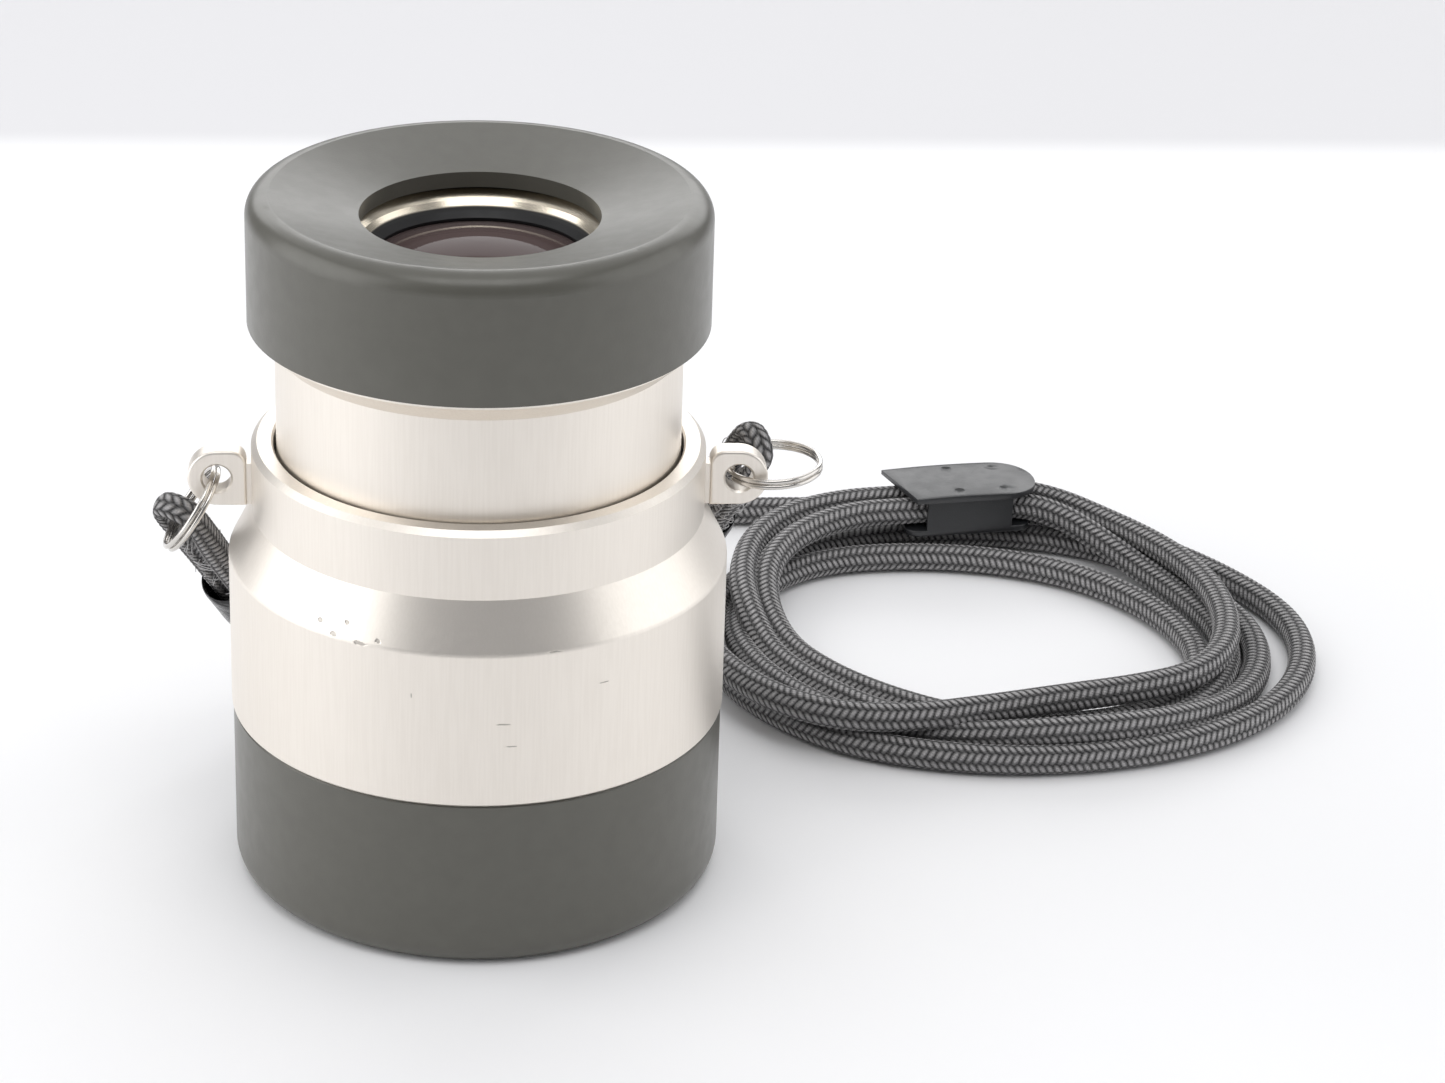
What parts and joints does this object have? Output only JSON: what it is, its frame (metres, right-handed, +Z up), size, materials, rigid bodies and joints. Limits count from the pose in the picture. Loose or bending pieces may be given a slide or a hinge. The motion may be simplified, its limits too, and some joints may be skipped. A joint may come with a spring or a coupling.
{
  "type": "stand loupe",
  "caption": "Focusing stand loupe with a round metal body, a grey foot, a dark eyecup, side lugs with split rings and a coiled neck cord with a slide lock.",
  "frame": {"origin": "on the table, under the middle of the loupe's foot", "axes": "+Z up along the optical axis, +X towards the right cord lug and the coiled cord, -Y towards the front"},
  "size_m": [0.1599, 0.1311, 0.0894],
  "materials": {
    "grey_foot": "satin grey moulded foot",
    "satin_metal": "fine vertical brushing, warm pearl silver",
    "steel": "plain steel",
    "black_metal": "matt black anodised",
    "brass": "turned and greased",
    "felt": "black felt",
    "cord": "grey braided polyester",
    "sleeve": "glossy black shrunk tube",
    "glass": "coated optical glass",
    "eyecup": "satin hard rubber, dark grey",
    "nickel": "bright nickel wire",
    "lock": "satin black moulding"
  },
  "bodies": {
    "body": {"base_skirt": "grey_foot", "main_tube": "satin_metal", "collar": "satin_metal", "lug_left": "satin_metal", "lug_right": "satin_metal", "lug_screw_left": "steel", "lug_screw_right": "steel", "rod_plate": "black_metal", "guide_rod_front": "steel", "guide_rod_back": "steel", "helicoid_ring": "brass", "light_seal": "felt", "cord_left": "cord", "cord_right": "cord", "cord_fold_left": "cord", "cord_fold_right": "cord", "cord_sleeve_left": "sleeve", "cord_sleeve_right": "sleeve", "cord_coil": "cord", "cord_strand_front": "cord", "cord_strand_back": "cord"},
    "field_group": {"field_cell": "black_metal", "field_lens": "glass", "field_retainer": "black_metal"},
    "eyepiece": {"focus_barrel": "satin_metal", "barrel_clip": "steel", "cup_seat": "satin_metal", "eyecup": "eyecup", "eye_cell": "satin_metal", "eye_retainer": "black_metal", "eye_lens_upper": "glass", "eye_lens_lower": "glass"},
    "left_ring": {"split_ring_left": "nickel"},
    "right_ring": {"split_ring_right": "nickel"},
    "cord_lock": {"cord_lock_base": "lock", "cord_lock_cap": "lock", "cord_lock_leaf": "steel"}
  },
  "joints": [
    {"name": "focus_slide", "type": "slide", "parent": "body", "child": "field_group", "axis": [0, 0, 1], "range_m": [-0.005, 0.0045]},
    {"name": "barrel_turn", "type": "hinge", "parent": "field_group", "child": "eyepiece", "pos_m": [0, 0, 0.05], "axis": [0, 0, 1], "range_deg": [-113, 102]},
    {"name": "left_ring_spin", "type": "hinge", "parent": "body", "child": "left_ring", "pos_m": [-0.03538, 0.00097, 0.04745], "axis": [0.8309, 0, -0.5564], "continuous": true},
    {"name": "right_ring_spin", "type": "hinge", "parent": "body", "child": "right_ring", "pos_m": [0.03687, 0.0029, 0.0524], "axis": [-0.0403, 0, 0.9992], "continuous": true},
    {"name": "lock_slide", "type": "slide", "parent": "body", "child": "cord_lock", "axis": [0.9903, 0.1392, 0], "range_m": [-0.008, 0.003]}
  ],
  "couplings": [
    {"joint": "barrel_turn", "follows": "focus_slide", "rad_per_m": 392.7}
  ]
}
